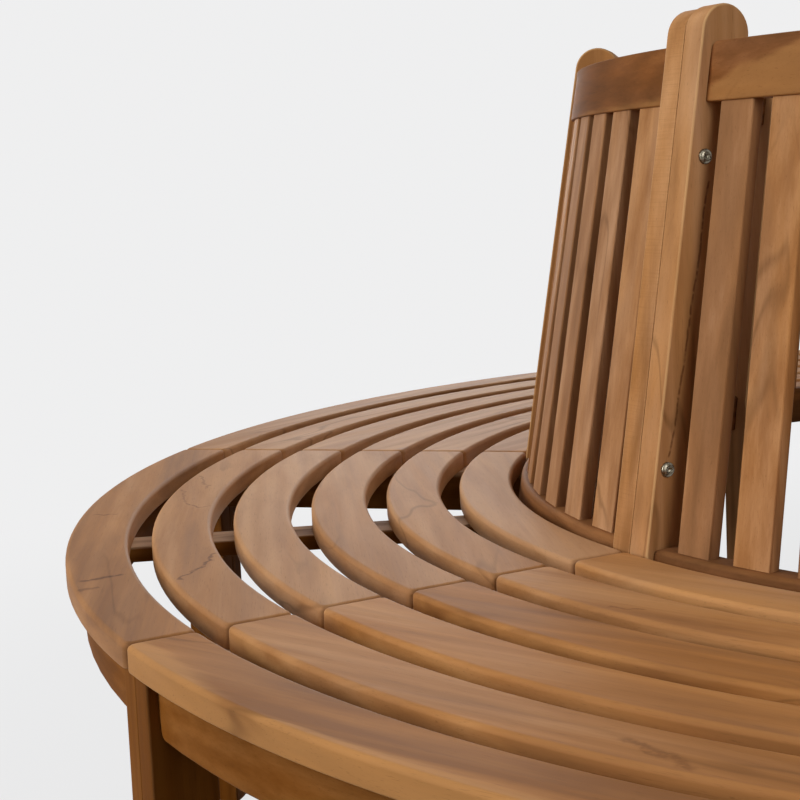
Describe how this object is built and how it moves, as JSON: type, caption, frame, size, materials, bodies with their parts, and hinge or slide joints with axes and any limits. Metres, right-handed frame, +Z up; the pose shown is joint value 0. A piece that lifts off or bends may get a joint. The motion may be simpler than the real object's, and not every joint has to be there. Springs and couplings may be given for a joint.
{
  "type": "tree bench",
  "caption": "Round slatted wooden bench in a full circle about a tree, with curved seat slats, leaning slatted back inside the circle and paired legs bolted at each joint.",
  "frame": {"origin": "on the floor, at the centre of the circle", "axes": "+Z up, +X through the first joint between two sections; sections repeat every 45 degrees about Z"},
  "size_m": [2.2, 2.2, 0.897],
  "materials": {
    "seat_wood": "oiled hardwood, satin",
    "back_slat_wood": "oiled hardwood, satin",
    "rail_wood": "oiled hardwood, satin",
    "frame_wood": "oiled hardwood, satin",
    "fastener_steel": "plain zinc grey"
  },
  "bodies": {
    "root": {"aprons": "rail_wood", "back_legs_1": "frame_wood", "back_legs_2": "frame_wood", "back_legs_3": "frame_wood", "back_legs_4": "frame_wood", "back_legs_5": "frame_wood", "back_legs_6": "frame_wood", "back_legs_7": "frame_wood", "back_legs_8": "frame_wood", "back_slats_1": "back_slat_wood", "back_slats_2": "back_slat_wood", "back_slats_3": "back_slat_wood", "back_slats_4": "back_slat_wood", "back_slats_5": "back_slat_wood", "back_slats_6": "back_slat_wood", "back_slats_7": "back_slat_wood", "back_slats_8": "back_slat_wood", "bottom_rails": "rail_wood", "cap_nuts": "fastener_steel", "front_legs_1": "frame_wood", "front_legs_2": "frame_wood", "front_legs_3": "frame_wood", "front_legs_4": "frame_wood", "front_legs_5": "frame_wood", "front_legs_6": "frame_wood", "front_legs_7": "frame_wood", "front_legs_8": "frame_wood", "joint_bolts": "fastener_steel", "seat_batten_1": "frame_wood", "seat_batten_2": "frame_wood", "seat_batten_3": "frame_wood", "seat_batten_4": "frame_wood", "seat_batten_5": "frame_wood", "seat_batten_6": "frame_wood", "seat_batten_7": "frame_wood", "seat_batten_8": "frame_wood", "seat_bearers_1": "frame_wood", "seat_bearers_2": "frame_wood", "seat_bearers_3": "frame_wood", "seat_bearers_4": "frame_wood", "seat_bearers_5": "frame_wood", "seat_bearers_6": "frame_wood", "seat_bearers_7": "frame_wood", "seat_bearers_8": "frame_wood", "seat_ring_1": "seat_wood", "seat_ring_2": "seat_wood", "seat_ring_3": "seat_wood", "seat_ring_4": "seat_wood", "seat_ring_5": "seat_wood", "seat_ring_6": "seat_wood", "top_rails": "rail_wood"}
  },
  "joints": []
}
